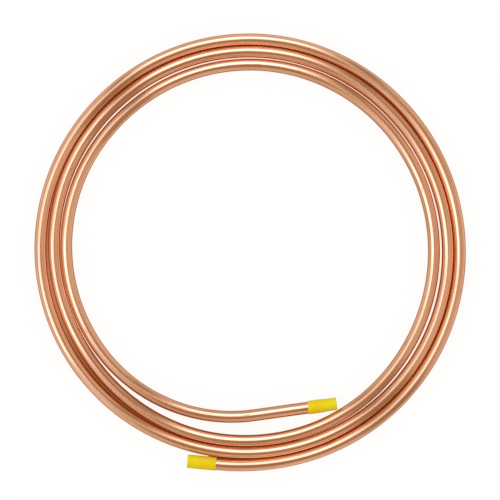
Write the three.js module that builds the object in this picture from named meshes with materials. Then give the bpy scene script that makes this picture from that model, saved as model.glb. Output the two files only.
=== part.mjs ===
// A coil of soft copper tube, lying flat: one layer of a little over three turns, each wound inside the
// one before it. The outer end leaves the coil in a short straight lead, and the inner end swings across
// the eye into a straight tail. A soft plastic cap is pushed over each end.
//
// Millimetres, +Z up. The coil rests on z = 0, and its outline is centred on the origin.

import * as THREE from 'three';

const { degToRad, lerp, smoothstep } = THREE.MathUtils;

// ---------------------------------------------------------------- driving dimensions

// The tube: 3/8 inch outside, with a 0.032 inch wall
const TUBE_OD = 9.525;
const TUBE_WALL = 0.813;

// The winding. Angles are in degrees, counted along the tube from the coil's -Y side and counter-clockwise
// seen from above, so that 360 is one turn in.
const FIRST_TURN_RADIUS = 172.6; // of the tube's axis, at angle 0
const TURN_CLEARANCE = 0.1; // between turns that lie against each other
const WINDING_START = 10;
const WINDING_END = 1020;

// The turns are slightly out of round, with three low lobes.
const LOBE_HEIGHT = 0.25;
const LOBES = 3;
const LOBE_ANGLE = 60;

// Where the winding is loose: [angle, gap between the turn at that angle and the turn inside it]
const LOOSE_GAPS = [
  [235, 0],
  [298, 2.2],
  [352, 0],
  [375, 0],
  [430, 1.65],
  [505, 0.6],
  [580, 1.15],
  [640, 0.1],
  [710, 2.4],
];

// The lead opens out from the first turn in a wide bend, and is straight where its cap grips it.
const LEAD_BEND_LENGTH = 54;
const LEAD_BARE = 1; // straight tube between the bend and the cap

// The tail bends more tightly than the last turn, by this much off its radius, and then runs straight.
const TAIL_TIGHTER_BY = 12.7;
const TAIL_BARE = 43.6; // straight tube between the bend and the cap

// The caps: plain round sleeves with a closed end, stretched a little where the tube is inside
const CAP_LENGTH = 23;
const CAP_WALL = 0.4;
const CAP_END_WALL = 2;
const CAP_CLEARANCE = 0.2; // between the tube and a cap, all round
const CAP_EDGE = 0.4; // chamfer round the closed end
const CAP_TO_TURN = 0.3; // between a cap and the turn that it lies against
// The length of tube inside, and how much narrower the free end is than the part stretched over the tube
const OUTER_CAP = { grip: 13.4, shrink: 0 };
const INNER_CAP = { grip: 9.8, shrink: 0.35 };

// Facets
const TUBE_SIDES = 16;
const BORE_SIDES = 10;
const CAP_SIDES = 24;
const FACET_LENGTH = 14.5; // along the tube

// ---------------------------------------------------------------- derived sizes

const tubeRadius = TUBE_OD / 2;
const boreRadius = tubeRadius - TUBE_WALL;
const capBore = tubeRadius + CAP_CLEARANCE;
const capRadius = capBore + CAP_WALL;
const turnPitch = TUBE_OD + TURN_CLEARANCE;

// Where the free end of a cap has shrunk back to its own size
const capFloor = CAP_LENGTH - CAP_END_WALL;
const capNeck = ({ grip }) => lerp(grip, capFloor, 0.5);

// A round section has a flat side underneath, so its axis lies this high above the floor.
const axisHeight = (radius, sides) => radius * Math.cos(Math.PI / sides);
const tubeHeight = axisHeight(tubeRadius, TUBE_SIDES);
const capHeight = axisHeight(capRadius, CAP_SIDES);

// ---------------------------------------------------------------- the winding

function looseGap(angle) {
  const [first, last] = [LOOSE_GAPS[0], LOOSE_GAPS.at(-1)];
  if (angle <= first[0]) return first[1];
  if (angle >= last[0]) return last[1];
  const next = LOOSE_GAPS.findIndex(([at]) => at > angle);
  const [[from, gapFrom], [to, gapTo]] = LOOSE_GAPS.slice(next - 1, next + 1);
  return lerp(gapFrom, gapTo, smoothstep(angle, from, to));
}

// The first turn is an even spiral, and each later one lies inside the turn before it.
function windingRadius(angle) {
  if (angle >= 360) return windingRadius(angle - 360) - turnPitch - looseGap(angle - 360);
  const lobe = LOBE_HEIGHT * Math.cos(LOBES * degToRad(angle - LOBE_ANGLE));
  return FIRST_TURN_RADIUS - (turnPitch * angle) / 360 + lobe;
}

function windingPoint(angle) {
  const radius = windingRadius(angle);
  return new THREE.Vector2(radius * Math.sin(degToRad(angle)), -radius * Math.cos(degToRad(angle)));
}

// The way the tube runs there, as an angle from +X, going inwards along it
function windingHeading(angle) {
  const step = 0.05;
  const way = windingPoint(angle + step).sub(windingPoint(angle - step));
  return Math.atan2(way.y, way.x);
}

// ---------------------------------------------------------------- the two ends

// An end of the tube leaves the winding at `angle` in a bend of `bendRadius` through `turning`, and then
// runs straight into its cap. `way` is -1 for the outer end, which runs against the count of the angles,
// and 1 for the inner one.
function makeEnd({ angle, way, bendRadius, turning, bare, cap }) {
  const from = windingHeading(angle);
  const heading = from + way * turning;
  const start = windingPoint(angle);

  // A point of the bend, a share t of the way round it
  function bendPoint(t) {
    const now = from + way * turning * t;
    return new THREE.Vector2(
      start.x + bendRadius * (Math.sin(now) - Math.sin(from)),
      start.y + bendRadius * (Math.cos(from) - Math.cos(now)),
    );
  }

  // A point of the straight run, this far from the bend
  function straightPoint(distance) {
    const along = new THREE.Vector2(Math.cos(heading), Math.sin(heading));
    return bendPoint(1).addScaledVector(along, way * distance);
  }

  return { heading, way, bendPoint, straightPoint, bare, cap };
}

// How far the sides of an end's cap clear the tube along the given points of its axis
function capClearance(end, axisPoints) {
  const samples = 12;
  const side = new THREE.Vector2(-Math.sin(end.heading), Math.cos(end.heading));
  let nearest = Infinity;
  for (let i = 0; i <= samples; i++) {
    const along = (CAP_LENGTH * i) / samples;
    const radius = along < capNeck(end.cap) ? capRadius : capRadius - end.cap.shrink;
    for (const offset of [-radius, radius]) {
      const edge = end.straightPoint(end.bare + along).addScaledVector(side, offset);
      for (const point of axisPoints) nearest = Math.min(nearest, edge.distanceTo(point));
    }
  }
  return nearest - tubeRadius;
}

// The end whose cap lies against the turn beside it, found between a turning that leaves the cap clear of
// that turn and one that doesn't
function restEnd(endAt, clear, fouling, turnStart) {
  const halfDegrees = Array.from({ length: 361 }, (_, i) => windingPoint(turnStart + i / 2));
  for (let i = 0; i < 30; i++) {
    const middle = (clear + fouling) / 2;
    if (capClearance(endAt(middle), halfDegrees) > CAP_TO_TURN) clear = middle;
    else fouling = middle;
  }
  return endAt(clear);
}

// The lead is as nearly bent as the first turn as its cap allows, which lies outside the second turn.
function makeLead() {
  const leadAt = (turning) =>
    makeEnd({
      angle: WINDING_START,
      way: -1,
      bendRadius: LEAD_BEND_LENGTH / turning,
      turning,
      bare: LEAD_BARE,
      cap: OUTER_CAP,
    });
  const asTheFirstTurn = LEAD_BEND_LENGTH / FIRST_TURN_RADIUS;
  return restEnd(leadAt, 0.1 * asTheFirstTurn, asTheFirstTurn, WINDING_START + 270);
}

// The tail comes round across the eye until its cap lies inside the last turn.
function makeTail() {
  const tailAt = (turning) =>
    makeEnd({
      angle: WINDING_END,
      way: 1,
      bendRadius: windingRadius(WINDING_END) - TAIL_TIGHTER_BY,
      turning,
      bare: TAIL_BARE,
      cap: INNER_CAP,
    });
  return restEnd(tailAt, degToRad(110), degToRad(50), WINDING_END - 360);
}

// ---------------------------------------------------------------- the tube

// The tube's axis, from its outer end to its inner one. It lies level along the winding and inside the
// caps, and rises between them, because the caps are thicker than the tube and rest on the floor too.
class TubeRoute extends THREE.Curve {
  constructor(lead, tail) {
    super();
    this.arcLengthDivisions = 2000;
    const at = (point, height) => new THREE.Vector3(point.x, point.y, height);
    const rise = (t) => lerp(tubeHeight, capHeight, smoothstep(t, 0, 1));
    const windingAngle = (t) => lerp(WINDING_START, WINDING_END, t);

    // Each stretch has a share of the parameter, about in proportion to its length.
    this.stretches = [
      [0.01, (t) => at(lead.straightPoint(lead.bare + lead.cap.grip * (1 - t)), capHeight)],
      [0.001, (t) => at(lead.straightPoint(lead.bare * (1 - t)), capHeight)],
      [0.019, (t) => at(lead.bendPoint(1 - t), rise(1 - t))],
      [0.9, (t) => at(windingPoint(windingAngle(t)), tubeHeight)],
      [0.05, (t) => at(tail.bendPoint(t), tubeHeight)],
      [0.015, (t) => at(tail.straightPoint(tail.bare * t), rise(t))],
      [0.005, (t) => at(tail.straightPoint(tail.bare + tail.cap.grip * t), capHeight)],
    ];
  }

  getPoint(t, target = new THREE.Vector3()) {
    let start = 0;
    for (const [share, pointAt] of this.stretches) {
      if (t <= start + share) return target.copy(pointAt((t - start) / share));
      start += share;
    }
    return target.copy(this.stretches.at(-1)[1](1));
  }

  // The tube's sections stand upright all the way, so that the flat side underneath stays level.
  computeFrenetFrames(segments) {
    const frames = { tangents: [], normals: [], binormals: [] };
    for (let i = 0; i <= segments; i++) {
      const tangent = this.getTangentAt(i / segments);
      const binormal = new THREE.Vector3(-tangent.y, tangent.x, 0).normalize();
      frames.tangents.push(tangent);
      frames.normals.push(new THREE.Vector3().crossVectors(binormal, tangent));
      frames.binormals.push(binormal);
    }
    return frames;
  }
}

// Points round a circle, with a flat side across each half axis
function roundOutline(radius, sides) {
  return Array.from({ length: sides }, (_, i) => {
    const angle = ((i + 0.5) / sides) * 2 * Math.PI;
    return new THREE.Vector2(radius * Math.cos(angle), radius * Math.sin(angle));
  });
}

function makeTube(route) {
  const section = new THREE.Shape(roundOutline(tubeRadius, TUBE_SIDES));
  section.holes.push(new THREE.Path(roundOutline(boreRadius, BORE_SIDES)));
  const steps = Math.round(route.getLength() / FACET_LENGTH);
  const geometry = new THREE.ExtrudeGeometry(section, { steps, bevelEnabled: false, extrudePath: route });
  const copper = new THREE.MeshStandardMaterial({ color: 0xc98a62, roughness: 0.25, metalness: 1 });
  const tube = new THREE.Mesh(geometry, copper);
  tube.name = 'copper_tube';
  return tube;
}

// ---------------------------------------------------------------- the caps

// A cap in section, from the bottom of its bore out round its mouth to the middle of its closed end. The
// mouth is at height 0.
function capProfile(cap) {
  const freeBore = capBore - cap.shrink;
  const freeRadius = capRadius - cap.shrink;
  return [
    [0, capFloor],
    [freeBore, capFloor],
    [freeBore, capNeck(cap)],
    [capBore, cap.grip],
    [capBore, 0],
    [capRadius, 0],
    [capRadius, cap.grip],
    [freeRadius, capNeck(cap)],
    [freeRadius, CAP_LENGTH - CAP_EDGE],
    [freeRadius - CAP_EDGE, CAP_LENGTH],
    [0, CAP_LENGTH],
  ].map(([radius, height]) => new THREE.Vector2(radius, height));
}

function makeCap(name, end) {
  const geometry = new THREE.LatheGeometry(capProfile(end.cap), CAP_SIDES);
  geometry.rotateY(Math.PI / CAP_SIDES); // a flat side underneath
  geometry.rotateZ(-Math.PI / 2); // the mouth towards -X
  const plastic = new THREE.MeshStandardMaterial({ color: 0xe3c81e, roughness: 0.45, metalness: 0 });
  const mesh = new THREE.Mesh(geometry, plastic);
  const mouth = end.straightPoint(end.bare);
  mesh.name = name;
  mesh.position.set(mouth.x, mouth.y, capHeight);
  mesh.rotation.z = end.way > 0 ? end.heading : end.heading + Math.PI;
  return mesh;
}

// ---------------------------------------------------------------- the coil

const lead = makeLead();
const tail = makeTail();

const coil = new THREE.Group();
coil.add(
  makeTube(new TubeRoute(lead, tail)),
  makeCap('end_cap_outer', lead),
  makeCap('end_cap_inner', tail),
);

const outline = new THREE.Box3().setFromObject(coil);
const middle = outline.getCenter(new THREE.Vector3());
coil.position.set(-middle.x, -middle.y, 0);

const part = new THREE.Group();
part.add(coil);

export default part;
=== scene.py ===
"""The looks of a flat coil of soft copper tube with a plastic cap on each end, seen from straight above.

The fine skin of the tube follows the same route as the solid that it replaces, so the route's sizes
are those of the part's source, in millimetres and degrees. Everything that Blender gets is in metres.
"""

import math

import bpy
import numpy as np
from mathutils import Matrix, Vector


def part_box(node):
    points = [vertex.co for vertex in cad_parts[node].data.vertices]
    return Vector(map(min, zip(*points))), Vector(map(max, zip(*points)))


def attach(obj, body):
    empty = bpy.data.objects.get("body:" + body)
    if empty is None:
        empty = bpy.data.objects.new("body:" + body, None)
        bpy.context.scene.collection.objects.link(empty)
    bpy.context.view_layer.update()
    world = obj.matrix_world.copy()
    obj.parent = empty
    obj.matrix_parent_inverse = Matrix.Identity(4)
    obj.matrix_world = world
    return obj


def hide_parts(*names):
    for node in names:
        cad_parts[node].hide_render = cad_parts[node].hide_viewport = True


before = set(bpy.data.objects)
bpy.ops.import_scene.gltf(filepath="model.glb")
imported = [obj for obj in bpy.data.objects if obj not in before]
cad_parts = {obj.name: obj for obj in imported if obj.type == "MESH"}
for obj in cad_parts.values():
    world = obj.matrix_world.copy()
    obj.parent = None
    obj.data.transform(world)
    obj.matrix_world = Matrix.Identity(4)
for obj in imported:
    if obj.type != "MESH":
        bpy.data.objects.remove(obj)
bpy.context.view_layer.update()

MM = 0.001

# ---------------------------------------------------------------- the part, in millimetres and degrees

TUBE_RADIUS = 9.525 / 2
BORE_RADIUS = TUBE_RADIUS - 0.813

# The winding. Angles are counted along the tube from the -Y side, counter-clockwise seen from above.
FIRST_TURN_RADIUS = 172.6
TURN_PITCH = 2 * TUBE_RADIUS + 0.1
WINDING_START = 10
WINDING_END = 1020
LOBE_HEIGHT = 0.25
LOBES = 3
LOBE_ANGLE = 60

# Where the winding is loose: the angle, and the gap between the turn there and the turn inside it
LOOSE_GAPS = [
    (235, 0),
    (298, 2.2),
    (352, 0),
    (375, 0),
    (430, 1.65),
    (505, 0.6),
    (580, 1.15),
    (640, 0.1),
    (710, 2.4),
]

# The caps, and the length of tube that each grips. The inner one is shrunk a little past the tube.
CAP_LENGTH = 23
CAP_WALL = 0.4
CAP_END_WALL = 2
CAP_BORE = TUBE_RADIUS + 0.2
CAP_RADIUS = CAP_BORE + CAP_WALL
OUTER_GRIP = 13.4
INNER_GRIP = 9.8
INNER_SHRINK = 0.35

# The lead opens out of the first turn in a wide bend, and the tail swings across the eye in a tighter
# one. Each then runs straight and bare for a while before its cap.
LEAD_BEND_LENGTH = 54
LEAD_TURNING = 16.134
LEAD_BARE = 1
TAIL_TIGHTER_BY = 12.7
TAIL_TURNING = 66.69
TAIL_BARE = 43.6

# ---------------------------------------------------------------- the look's own sizes

RINGS = 1200  # of the tube's skin
SIDES = 60
BORE_RINGS = RINGS // 4  # fewer, as nobody sees them
RINGS_TO_BORE_RING = RINGS // BORE_RINGS
CAP_SIDES = 72

# The tube's outside is laid out for its texture in rows, one above the other, with the bore on top
UV_ROWS = 10
RINGS_TO_ROW = RINGS // UV_ROWS
UV_MARGIN = 0.03  # of a row's height, above it and below it
UV_BORE = 0.05  # of the layout's height, which is little, as nobody sees the bore
UV_BORE_MARGIN = 0.1  # of that, above the bore and below it

# How far into its cap the tube shows in full through the wall, in millimetres, and the length about its
# cut end over which it fades away
OUTER_SHOWS_FROM = 0.1
INNER_SHOWS_FROM = 3
FADES_OVER = 4

# The caps' rounded edges: the lip round the mouth, as a share of the wall, and the closed end
LIP = 0.45
END_ROUND = 0.5

# The route is worked out at these points before the rings are spread evenly along it
STRETCH_POINTS = 200  # on each bend and each straight run
WINDING_STEP = 0.5  # degrees from one to the next in the turns
SAME_POINT = 1e-6  # millimetres, nearer than which two are one

SHARP_ABOVE = 50  # degrees between two faces, above which the edge between them is sharp

# ---------------------------------------------------------------- the route, in plan as complex numbers


def smoothstep(t):
    """0 at 0 and below it, 1 at 1 and above it, and a smooth step between them."""
    t = np.clip(t, 0, 1)
    return t * t * (3 - 2 * t)


def value_at(angle, pairs):
    """The value at this angle, from pairs of angle and value, with smooth steps between the values."""
    for (start, value_from), (end, value_to) in zip(pairs, pairs[1:]):
        if angle < end:
            return value_from + (value_to - value_from) * smoothstep((angle - start) / (end - start))
    return pairs[-1][1]


def winding_radius(angle):
    """The first turn is an even spiral with low lobes, and each later one lies inside the one before."""
    if angle >= 360:
        return winding_radius(angle - 360) - TURN_PITCH - value_at(angle - 360, LOOSE_GAPS)
    lobe = LOBE_HEIGHT * math.cos(LOBES * math.radians(angle - LOBE_ANGLE))
    return FIRST_TURN_RADIUS - TURN_PITCH * angle / 360 + lobe


def winding_point(angle):
    """The tube's axis there, in plan."""
    return -1j * winding_radius(angle) * np.exp(1j * math.radians(angle))


def winding_heading(angle, step=0.05):
    """The way the tube runs there, as an angle from +X in radians, going inwards along it."""
    return np.angle(winding_point(angle + step) - winding_point(angle - step))


class End:
    """An end of the tube: a bend out of the winding, and then a straight run into its cap.

    way is -1 for the outer end, which runs against the count of the angles, and 1 for the inner one.
    """

    def __init__(self, angle, way, bend_radius, turning, bare):
        self.start = winding_point(angle)
        self.way = way
        self.bend_radius = bend_radius
        self.bare = bare
        self.bend_from = winding_heading(angle)
        self.heading = self.bend_from + way * turning
        self.straight_from = self.bend(1)

    def bend(self, share):
        """The tube's axis at this share of the bend."""
        now = self.bend_from + (self.heading - self.bend_from) * share
        return self.start - 1j * self.bend_radius * (np.exp(1j * now) - np.exp(1j * self.bend_from))

    def straight(self, distance):
        """The tube's axis this far along the straight run."""
        return self.straight_from + self.way * distance * np.exp(1j * self.heading)

    def mouth(self):
        """The middle of the cap's mouth."""
        return self.straight(self.bare)

    def cap_heading(self):
        """The way from the cap's mouth to its closed end, as an angle from +X in radians."""
        return self.heading if self.way > 0 else self.heading + math.pi


lead = End(
    angle=WINDING_START,
    way=-1,
    bend_radius=LEAD_BEND_LENGTH / math.radians(LEAD_TURNING),
    turning=math.radians(LEAD_TURNING),
    bare=LEAD_BARE,
)
tail = End(
    angle=WINDING_END,
    way=1,
    bend_radius=winding_radius(WINDING_END) - TAIL_TIGHTER_BY,
    turning=math.radians(TAIL_TURNING),
    bare=TAIL_BARE,
)


def tube_axis():
    """Evenly spaced points along the tube's axis, from its outer end to its inner one, in millimetres.

    The tube lies on the floor along the winding, and rises towards the caps, which are thicker.
    """
    share = np.linspace(0, 1, STRETCH_POINTS)
    angles = np.arange(WINDING_START, WINDING_END, WINDING_STEP)
    rise = TUBE_RADIUS + (CAP_RADIUS - TUBE_RADIUS) * smoothstep(share)
    low, high = np.full(len(share), TUBE_RADIUS), np.full(len(share), CAP_RADIUS)
    stretches = [
        (lead.straight((lead.bare + OUTER_GRIP) * share[::-1]), high),
        (lead.bend(share[::-1]), rise[::-1]),
        (np.array([winding_point(angle) for angle in angles]), np.full(len(angles), TUBE_RADIUS)),
        (tail.bend(share), low),
        (tail.straight(tail.bare * share), rise),
        (tail.straight(tail.bare + INNER_GRIP * share), high),
    ]
    plan = np.concatenate([stretch[0] for stretch in stretches])
    height = np.concatenate([stretch[1] for stretch in stretches])
    points = np.column_stack([plan.real, plan.imag, height])
    steps = np.linalg.norm(np.diff(points, axis=0), axis=1)
    apart = np.append(True, steps > SAME_POINT)
    along = np.append(0, np.cumsum(steps))[apart]
    points = points[apart]
    even = np.linspace(0, along[-1], RINGS + 1)
    return np.column_stack([np.interp(even, along, points[:, axis]) for axis in range(3)]), even


# ---------------------------------------------------------------- meshes


def new_object(name, vertices, faces):
    """An object in the scene, with its vertices in metres, and smooth but for its sharp edges."""
    mesh = bpy.data.meshes.new(name)
    mesh.from_pydata(vertices.tolist(), [], faces)
    mesh.shade_smooth()
    mesh.set_sharp_from_angle(angle=math.radians(SHARP_ABOVE))
    made = bpy.data.objects.new(name, mesh)
    bpy.context.scene.collection.objects.link(made)
    return made


def skin_place(ring, side, row):
    """Where a point of the tube's outside lies in its texture, in this row, which runs along the tube."""
    height = row + UV_MARGIN + (1 - 2 * UV_MARGIN) * side / SIDES
    return ring / RINGS_TO_ROW - row, height / UV_ROWS * (1 - UV_BORE)


def bore_place(ring, side):
    """Where a point of the bore lies in the same texture."""
    height = UV_BORE_MARGIN + (1 - 2 * UV_BORE_MARGIN) * side / SIDES
    return ring / BORE_RINGS, 1 - UV_BORE * height


def tube_faces():
    """The faces of the tube's outside, bore and end rims, and where their corners lie in its texture."""
    count = (RINGS + 1) * SIDES
    last, last_in_bore = RINGS * SIDES, count + BORE_RINGS * SIDES
    faces = []
    layout = []
    for j in range(SIDES):
        k = (j + 1) % SIDES
        for i in range(RINGS):
            a, b = i * SIDES + j, i * SIDES + k
            row = i // RINGS_TO_ROW
            faces.append((a, b, b + SIDES, a + SIDES))
            layout += [skin_place(i, j, row), skin_place(i, j + 1, row)]
            layout += [skin_place(i + 1, j + 1, row), skin_place(i + 1, j, row)]
        for i in range(BORE_RINGS):
            a, b = count + i * SIDES + j, count + i * SIDES + k
            faces.append((a, a + SIDES, b + SIDES, b))
            layout += [bore_place(i, j), bore_place(i + 1, j)]
            layout += [bore_place(i + 1, j + 1), bore_place(i, j + 1)]
        faces.append((k, j, count + j, count + k))
        layout += [bore_place(0, j + 1), bore_place(0, j), bore_place(0, j), bore_place(0, j + 1)]
        faces.append((last + j, last + k, last_in_bore + k, last_in_bore + j))
        layout += [bore_place(BORE_RINGS, j), bore_place(BORE_RINGS, j + 1)]
        layout += [bore_place(BORE_RINGS, j + 1), bore_place(BORE_RINGS, j)]
    return faces, layout


def make_tube_skin():
    """The tube with its bore, as rings of points round its axis.

    Returns the object, and the shift in plan that sets it where the solid is, in millimetres.
    """
    axis, along = tube_axis()
    ahead = np.gradient(axis, axis=0)
    ahead /= np.linalg.norm(ahead, axis=1, keepdims=True)
    side = np.column_stack([-ahead[:, 1], ahead[:, 0], np.zeros(len(ahead))])
    side /= np.linalg.norm(side, axis=1, keepdims=True)
    up = np.cross(ahead, side)

    around = np.arange(SIDES) / SIDES * 2 * math.pi - math.pi / 2
    ring = np.cos(around)[None, :, None] * side[:, None] + np.sin(around)[None, :, None] * up[:, None]
    outer = axis[:, None] + TUBE_RADIUS * ring
    bore = (axis[:, None] + BORE_RADIUS * ring)[::RINGS_TO_BORE_RING]

    cad_low, cad_high = (np.array(corner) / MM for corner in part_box("copper_tube"))
    shift = (cad_low + cad_high - outer.min((0, 1)) - outer.max((0, 1)))[:2] / 2
    vertices = np.concatenate([outer.reshape(-1, 3), bore.reshape(-1, 3)])
    vertices[:, :2] += shift
    faces, layout = tube_faces()
    skin = new_object("tube_skin", vertices * MM, faces)
    skin.data.uv_layers.new(name="OFBake").uv.foreach_set("vector", np.ravel(layout))

    # The grain runs along the tube: a point of a circle of radius 1, and the metres along it.
    round_it = np.column_stack([np.cos(around), np.sin(around)])
    grain = []
    for distance in np.concatenate([along, along[::RINGS_TO_BORE_RING]]):
        grain.append(np.column_stack([round_it, np.full(SIDES, distance * MM)]))
    grain = np.concatenate(grain).astype(np.float32)
    skin.data.attributes.new("grain", "FLOAT_VECTOR", "POINT").data.foreach_set("vector", grain.ravel())
    return skin, shift


def round_corner(radius, height, size, start, steps=5):
    """Points of a quarter of a circle round (radius, height), which starts at this angle in degrees."""
    angles = np.radians(np.linspace(start, start + 90, steps + 1))
    return [(radius + size * math.cos(a), height + size * math.sin(a)) for a in angles]


def cap_outline(grip, shrink):
    """The cap in section as (radius, height above the mouth), from its bore's bottom to its end."""
    floor = CAP_LENGTH - CAP_END_WALL
    neck = (grip + floor) / 2
    lip = CAP_WALL * LIP
    wall = []
    for height in np.linspace(1, CAP_LENGTH - 1, 22):
        wall.append((CAP_RADIUS - shrink * smoothstep((height - grip) / (neck - grip)), height))
    return [
        (0, floor),
        (CAP_BORE - shrink, floor),
        (CAP_BORE - shrink, neck),
        (CAP_BORE, grip),
        *round_corner(CAP_BORE + lip, lip, lip, 180),
        *round_corner(CAP_RADIUS - lip, lip, lip, 270),
        *wall,
        *round_corner(CAP_RADIUS - shrink - END_ROUND, CAP_LENGTH - END_ROUND, END_ROUND, 0),
        (0, CAP_LENGTH),
    ]


def make_cap(name, end, grip, shrink, shows_from, shift):
    """The cap on this end of the tube, as rings of points round its axis."""
    first, *rings, last = cap_outline(grip, shrink)
    around = np.arange(CAP_SIDES) / CAP_SIDES * 2 * math.pi
    heading = end.cap_heading()
    ahead = np.array([math.cos(heading), math.sin(heading), 0])
    side = np.array([-ahead[1], ahead[0], 0])
    up = np.array([0, 0, 1])
    mouth = np.array([end.mouth().real + shift[0], end.mouth().imag + shift[1], CAP_RADIUS])

    vertices = [mouth + ahead * first[1]]
    for radius, height in rings:
        for angle in around:
            outwards = math.cos(angle) * side + math.sin(angle) * up
            vertices.append(mouth + ahead * height + radius * outwards)
    vertices.append(mouth + ahead * last[1])
    faces = []
    tip = len(vertices) - 1
    for j in range(CAP_SIDES):
        k = (j + 1) % CAP_SIDES
        faces.append((0, 1 + k, 1 + j))
        for i in range(len(rings) - 1):
            a, b = 1 + i * CAP_SIDES + j, 1 + i * CAP_SIDES + k
            faces.append((a, b, b + CAP_SIDES, a + CAP_SIDES))
        faces.append((tip, tip - CAP_SIDES + j, tip - CAP_SIDES + k))
    cap = new_object(name, np.array(vertices) * MM, faces)

    # How much of the copper inside shows through the wall, from 0 to 1
    heights = np.array([height for _, height in rings])
    faded = smoothstep((heights - grip) / FADES_OVER + 0.5)
    shown = smoothstep(heights / shows_from) * (1 - faded)
    shown = np.concatenate([[0], np.repeat(shown, CAP_SIDES), [0]]).astype(np.float32)
    cap.data.attributes.new("copper_inside", "FLOAT", "POINT").data.foreach_set("value", shown)
    return cap


# ---------------------------------------------------------------- materials


def add_node(tree, kind, inputs=None, **settings):
    """A node with these settings. An input is given a value, or the output socket that feeds it."""
    made = tree.nodes.new(kind)
    for name, value in settings.items():
        setattr(made, name, value)
    for name, value in (inputs or {}).items():
        if isinstance(value, bpy.types.NodeSocket):
            tree.links.new(value, made.inputs[name])
        else:
            made.inputs[name].default_value = value
    return made


def new_material(name):
    """A material, its node tree and the shader in it."""
    material = bpy.data.materials.new(name)
    material.use_nodes = True
    return material, material.node_tree, material.node_tree.nodes["Principled BSDF"]


def ramp(tree, value, low, high, to_low=0, to_high=1):
    """to_low at low and below, and to_high at high and above, with a smooth step between them."""
    limits = {"Value": value, "From Min": low, "From Max": high, "To Min": to_low, "To Max": to_high}
    return add_node(tree, "ShaderNodeMapRange", limits, interpolation_type="SMOOTHSTEP").outputs[0]


def calculate(tree, operation, a, b, clamped=False):
    """The result of this operation on two values, kept from 0 to 1 where it is clamped."""
    inputs = {0: a, 1: b}
    return add_node(tree, "ShaderNodeMath", inputs, operation=operation, use_clamp=clamped).outputs[0]


def calculate_vector(tree, operation, *vectors):
    """The node that works this operation out for one or two vectors."""
    return add_node(tree, "ShaderNodeVectorMath", dict(enumerate(vectors)), operation=operation)


def mix_colours(tree, share, a, b):
    """a where the share is 0, b where it is 1, and the colours between them elsewhere."""
    return add_node(tree, "ShaderNodeMix", {0: share, 6: a, 7: b}, data_type="RGBA").outputs[2]


def noise(tree, place, scale, detail):
    """Smooth noise, mostly within NOISE_RANGE, with this many lumps to a unit of the place's axes."""
    scaled = calculate_vector(tree, "MULTIPLY", place, scale).outputs[0]
    inputs = {"Vector": scaled, "Scale": 1, "Detail": detail}
    return add_node(tree, "ShaderNodeTexNoise", inputs).outputs[0]


def add_bump(tree, shader, height, distance):
    """The surface looks raised by this distance in millimetres for each unit of the height."""
    bump = add_node(tree, "ShaderNodeBump", {"Height": height, "Distance": distance * MM})
    tree.links.new(bump.outputs[0], shader.inputs["Normal"])


NOISE_RANGE = (0.3, 0.7)

CLEAN_COPPER = (0.85, 0.49, 0.31, 1)
TARNISHED_COPPER = (0.69, 0.37, 0.215, 1)
MARKED_COPPER = (0.58, 0.29, 0.165, 1)

# The copper's noises, each as lumps to a tube's radius across the tube, twice, and to a metre along it
WAVES = (0.8, 0.8, 20)
PATCHES = (1.1, 1.1, 11)
STREAKS = (4, 4, 6)
MARKS = (2.5, 2.5, 60)

# Where the tarnish starts and is full, in the sum of patches and streaks, and the same for the marks
TARNISH_RANGE = (0.8, 1.24)
MARKS_RANGE = (0.73, 0.79)

COPPER_ROUGHNESS = (0.12, 0.21)  # at the two ends of the streaks' range
MARKS_ROUGHNESS = 0.2  # on top of that
WAVES_HEIGHT = 0.25  # in millimetres
STREAKS_HEIGHT = 0.05  # as a share of the waves' height


def copper_material():
    """Drawn copper: lines along it, a slow unevenness, thin tarnish in patches and a few small marks."""
    material, tree, shader = new_material("drawn_copper")
    grain = add_node(tree, "ShaderNodeAttribute", attribute_name="grain").outputs["Vector"]
    waves = noise(tree, grain, WAVES, detail=0)
    patches = noise(tree, grain, PATCHES, detail=2)
    streaks = noise(tree, grain, STREAKS, detail=2)
    marks = ramp(tree, noise(tree, grain, MARKS, detail=1), *MARKS_RANGE)

    tarnish = ramp(tree, calculate(tree, "ADD", patches, streaks), *TARNISH_RANGE)
    colour = mix_colours(tree, tarnish, CLEAN_COPPER, TARNISHED_COPPER)
    colour = mix_colours(tree, marks, colour, MARKED_COPPER)
    tree.links.new(colour, shader.inputs["Base Color"])
    shader.inputs["Metallic"].default_value = 1

    roughness = ramp(tree, streaks, *NOISE_RANGE, *COPPER_ROUGHNESS)
    added = calculate(tree, "MULTIPLY", marks, MARKS_ROUGHNESS)
    tree.links.new(calculate(tree, "ADD", roughness, added), shader.inputs["Roughness"])

    lines = calculate(tree, "MULTIPLY", streaks, STREAKS_HEIGHT)
    add_bump(tree, shader, calculate(tree, "ADD", waves, lines), WAVES_HEIGHT)
    return material


LEMON = (0.86, 0.7, 0.002, 1)
WARMED_LEMON = (0.88, 0.62, 0.002, 1)
DULL_LEMON = (0.62, 0.52, 0.002, 1)

# The vinyl's noises, as lumps to a metre each way
CLOUDS = (160, 160, 160)
DIMPLES = (500, 500, 500)

# At the two ends of the clouds' range: the share of the dull colour, and the roughness
CAP_DULLNESS = (0, 0.16)
CAP_ROUGHNESS = (0.4, 0.55)

CAP_SPECULAR = 0.2
DIMPLES_HEIGHT = 0.015  # in millimetres


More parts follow.
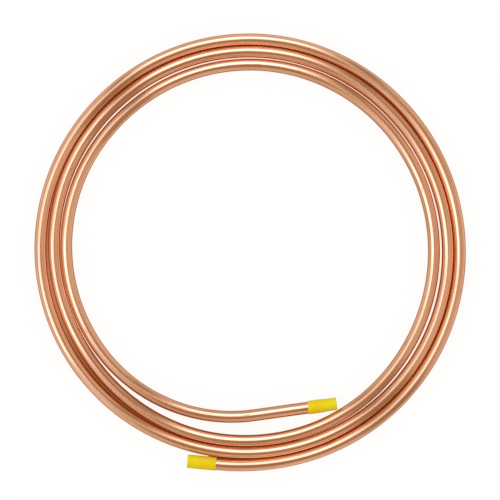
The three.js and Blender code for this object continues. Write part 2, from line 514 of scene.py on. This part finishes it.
def cap_material():
    """Soft yellow vinyl, so thin that the copper inside warms its colour."""
    material, tree, shader = new_material("yellow_vinyl")
    copper_inside = add_node(tree, "ShaderNodeAttribute", attribute_name="copper_inside").outputs["Fac"]
    place = add_node(tree, "ShaderNodeTexCoord").outputs["Object"]
    clouds = noise(tree, place, CLOUDS, detail=3)
    dimples = noise(tree, place, DIMPLES, detail=1)
    colour = mix_colours(tree, copper_inside, LEMON, WARMED_LEMON)
    dullness = ramp(tree, clouds, *NOISE_RANGE, *CAP_DULLNESS)
    tree.links.new(mix_colours(tree, dullness, colour, DULL_LEMON), shader.inputs["Base Color"])
    tree.links.new(ramp(tree, clouds, *NOISE_RANGE, *CAP_ROUGHNESS), shader.inputs["Roughness"])
    shader.inputs["Specular IOR Level"].default_value = CAP_SPECULAR
    add_bump(tree, shader, dimples, DIMPLES_HEIGHT)
    return material


# ---------------------------------------------------------------- the part

tube_skin, shift = make_tube_skin()
tube_skin.data.materials.append(copper_material())
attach(tube_skin, "root")
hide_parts("copper_tube")

plastic = cap_material()
for name, end, grip, shrink, shows_from in (
    ("outer", lead, OUTER_GRIP, 0, OUTER_SHOWS_FROM),
    ("inner", tail, INNER_GRIP, INNER_SHRINK, INNER_SHOWS_FROM),
):
    cap = make_cap(f"cap_{name}", end, grip, shrink, shows_from, shift)
    cap.data.materials.append(plastic)
    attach(cap, "root")
    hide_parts(f"end_cap_{name}")

# ---------------------------------------------------------------- the floor

FLOOR_DROP = 0.02  # below the coil, in millimetres
FLOOR_HALF = 30  # metres, far enough to be all that is behind the coil in a low view
FLOOR_MIDDLE = (4, -4, -FLOOR_DROP * MM)  # so that no edge between its triangles runs under the coil
FLOOR_COLOUR = (0.62, 0.62, 0.62, 1)
WHITE = (1, 1, 1, 1)
SHADE_BY_COIL = (0.38, 0.16, 0.065, 1)  # of the floor close to the coil, as the metal mirrors it
SOFT_SHADE = (0.985, 0.92, 0.86, 1)  # of the white floor where the coil hides most of the light
# Painted shade, warmed by painted light off the copper, where the coil all but touches the floor
UNDER_COIL_SHADE = (1, 0.56, 0.36, 1)  # of the white floor where the coil all but touches it
SHADED_GAP = (0.5, 0.13, 0.04, 1)  # of the floor that the turns keep in their shade
LIT_GAP = (0.85, 0.34, 0.17, 1)  # of the same floor where light gets into the gap

# How far away the coil still closes the floor in, in metres: to the camera, and to the metal
SEEN_REACH = 0.03
MIRRORED_REACH = 0.12
UNDER_COIL_BELOW = 1 / 6.5  # of openness, where the colour under the coil starts
SHADE_POWER = 11  # of openness, for the shade that the metal mirrors
GAP_POWER = 0.3  # of openness, for how bright the floor in the gap is
GAP_LEAST = 0.02  # of openness there

# The angles along the first turn between which it shades the floor on its inner side, and how much light
# gets in there, as pairs of angle and share: at the outer cap, and where the gap is wide on the left
SHADED_FROM = -10.6
SHADED_TO = 375
SHADED_STEPS = 250
LIGHT_IN_GAP = [(SHADED_FROM, 1), (-8.4, 0), (190, 0), (230, 1), (284, 1), (312, 0)]


def floor_material(name):
    """Matt grey that light bounces off. The colour that the camera and the metal see is a glow on it."""
    material, tree, shader = new_material(name)
    shader.inputs["Base Color"].default_value = FLOOR_COLOUR
    shader.inputs["Roughness"].default_value = 1
    shader.inputs["Specular IOR Level"].default_value = 0
    material.cycles.emission_sampling = "NONE"  # as the glow is only seen, and lights nothing
    return material, tree, shader


def openness(tree, reach):
    """How open the floor is to what is above it, from 0 to 1. Only what is within reach closes it in."""
    return add_node(tree, "ShaderNodeAmbientOcclusion", {"Distance": reach}, samples=16).outputs["AO"]


def ray_kinds(tree):
    """1 for a ray that was mirrored or came through glass, and 1 for such a ray or the camera's own."""
    path = add_node(tree, "ShaderNodeLightPath").outputs
    mirrored = calculate(tree, "ADD", path["Is Glossy Ray"], path["Is Transmission Ray"], clamped=True)
    return mirrored, calculate(tree, "ADD", path["Is Camera Ray"], mirrored, clamped=True)


def add_glow(tree, shader, share, colour, strength=1):
    """This share of the surface glows, so that the colour shows as it is, whatever light falls on it."""
    glow = add_node(tree, "ShaderNodeEmission", {"Color": colour, "Strength": strength})
    mix = add_node(tree, "ShaderNodeMixShader", {0: share, 1: shader.outputs[0], 2: glow.outputs[0]})
    tree.links.new(mix.outputs[0], tree.nodes["Material Output"].inputs["Surface"])


def make_floor():
    """A floor that the camera and the metal see as white, but for the shade close to the coil."""
    corners = FLOOR_HALF * np.array([(-1, -1, 0), (1, -1, 0), (1, 1, 0), (-1, 1, 0)])
    floor = new_object("floor", corners + FLOOR_MIDDLE, [(0, 1, 2, 3)])
    material, tree, shader = floor_material("white_floor")
    mirrored, white = ray_kinds(tree)
    clear = openness(tree, SEEN_REACH)
    seen = mix_colours(tree, clear, SOFT_SHADE, WHITE)
    # Where the coil all but touches the floor, its glow takes that warm painted shade
    well_clear = calculate(tree, "DIVIDE", clear, UNDER_COIL_BELOW, clamped=True)
    seen = mix_colours(tree, well_clear, UNDER_COIL_SHADE, seen)
    clear_in_metal = calculate(tree, "POWER", openness(tree, MIRRORED_REACH), SHADE_POWER)
    seen_in_metal = mix_colours(tree, clear_in_metal, SHADE_BY_COIL, WHITE)
    add_glow(tree, shader, white, mix_colours(tree, mirrored, seen, seen_in_metal))
    floor.data.materials.append(material)


def outer_neighbour(angle):
    """The tube's axis in the first turn, or in the lead's bend before the first turn begins."""
    if angle > WINDING_START:
        return winding_point(angle)
    return lead.bend(math.radians(WINDING_START - angle) * FIRST_TURN_RADIUS / LEAD_BEND_LENGTH)


def make_shaded_floor(shift):
    """The floor between the first turn and the second: in their shade, and lit red by the copper."""
    angles = np.linspace(SHADED_FROM, SHADED_TO, SHADED_STEPS)
    outer = [outer_neighbour(angle) for angle in angles]
    inner = [winding_point(angle + 360) for angle in angles]
    plan = np.array(outer + inner)
    height = np.full(len(plan), -FLOOR_DROP / 2)
    corners = np.column_stack([plan.real + shift[0], plan.imag + shift[1], height])
    count = len(angles)
    faces = [(i, i + 1, count + i + 1, count + i) for i in range(count - 1)]
    strip = new_object("shaded_floor", corners * MM, faces)
    lit = [value_at(angle, LIGHT_IN_GAP) for angle in angles]
    strip.data.attributes.new("lit", "FLOAT", "POINT").data.foreach_set("value", lit + lit)

    material, tree, shader = floor_material("shaded_floor")
    lit_here = add_node(tree, "ShaderNodeAttribute", attribute_name="lit").outputs["Fac"]
    colour = mix_colours(tree, lit_here, SHADED_GAP, LIT_GAP)
    clear = calculate(tree, "MAXIMUM", openness(tree, SEEN_REACH), GAP_LEAST)
    add_glow(tree, shader, ray_kinds(tree)[1], colour, calculate(tree, "POWER", clear, GAP_POWER))
    strip.data.materials.append(material)


make_floor()
make_shaded_floor(shift)

# ---------------------------------------------------------------- the light

# The inside of a light tent round the coil: warm walls, a dim roof and corners, and glowing panels
WALLS = (0.77, 0.66, 0.56, 1)
ROOF = (0.45, 0.32, 0.22, 1)
CORNER = (0.42, 0.32, 0.22, 1)
PANEL = (2.3, 2.55, 3.1, 1)
# Each part's azimuth, width, start and end in degrees, and its colour. Start and end count down from
# straight up, and a width of 720 is all the way round. A later part covers an earlier one.
TENT_PARTS = [
    (0, 720, -20, 8, (0.58, 0.48, 0.42, 1)),
    (282, 84, 6, 45, ROOF),
    (44, 40, 5, 36, (0.4, 0.29, 0.19, 1)),
    (57, 12, 25, 120, CORNER),
    (128, 8, 20, 120, CORNER),
    (313, 20, 20, 120, CORNER),
    (221, 20, 30, 76, (0.92, 0.88, 0.88, 1)),
    (96, 52, 9, 53, PANEL),
    (194, 36, 6, 53, PANEL),
    (156, 40, 5, 52, (1.3, 1.45, 1.5, 1)),
    (156, 40, 5, 28, (1.7, 1.95, 2.3, 1)),
]
SOFT_SIDES = 3  # degrees each way, over which a part of the tent fades at its sides
SOFT_ENDS = 5


def soft_step(tree, angle, edge, soft):
    """1 past this edge in degrees and 0 before it, or the other way round where soft is below 0."""
    return ramp(tree, angle, math.radians(edge - soft), math.radians(edge + soft))


def make_tent():
    """A world that shows the tent's colour in each direction."""
    world = bpy.data.worlds.new("light_tent")
    world.use_nodes = True
    tree = world.node_tree
    way = add_node(tree, "ShaderNodeTexCoord").outputs["Generated"]
    upward = add_node(tree, "ShaderNodeSeparateXYZ", {0: way}).outputs["Z"]
    tilt = calculate(tree, "ARCCOSINE", upward, 0)
    level = calculate_vector(tree, "MULTIPLY", way, (1, 1, 0)).outputs[0]
    level = calculate_vector(tree, "NORMALIZE", level).outputs[0]
    colour = WALLS
    for azimuth, width, start, end, part_colour in TENT_PARTS:
        towards = (math.cos(math.radians(azimuth)), math.sin(math.radians(azimuth)), 0)
        facing = calculate_vector(tree, "DOT_PRODUCT", level, towards).outputs["Value"]
        aside = calculate(tree, "ARCCOSINE", facing, 0)
        inside = soft_step(tree, aside, width / 2, -SOFT_SIDES)
        inside = calculate(tree, "MULTIPLY", inside, soft_step(tree, tilt, start, SOFT_ENDS))
        inside = calculate(tree, "MULTIPLY", inside, soft_step(tree, tilt, end, -SOFT_ENDS))
        colour = mix_colours(tree, inside, colour, part_colour)
    tree.links.new(colour, tree.nodes["Background"].inputs["Color"])
    bpy.context.scene.world = world


make_tent()

# ---------------------------------------------------------------- the camera

VIEW_WIDTH = 0.4  # of the floor that the picture shows
VIEW_MIDDLE = (-0.0001, 0.0019)
CAMERA_HEIGHT = 3


def make_camera():
    """It looks straight down, from far enough up that the sides of the tube hardly show."""
    camera = bpy.data.cameras.new("camera")
    camera.sensor_width = 36
    camera.lens = camera.sensor_width * (CAMERA_HEIGHT - TUBE_RADIUS * MM) / VIEW_WIDTH
    made = bpy.data.objects.new("camera", camera)
    made.location = (*VIEW_MIDDLE, CAMERA_HEIGHT)
    bpy.context.scene.collection.objects.link(made)
    bpy.context.scene.camera = made


make_camera()
bpy.context.scene.view_settings.view_transform = "Standard"
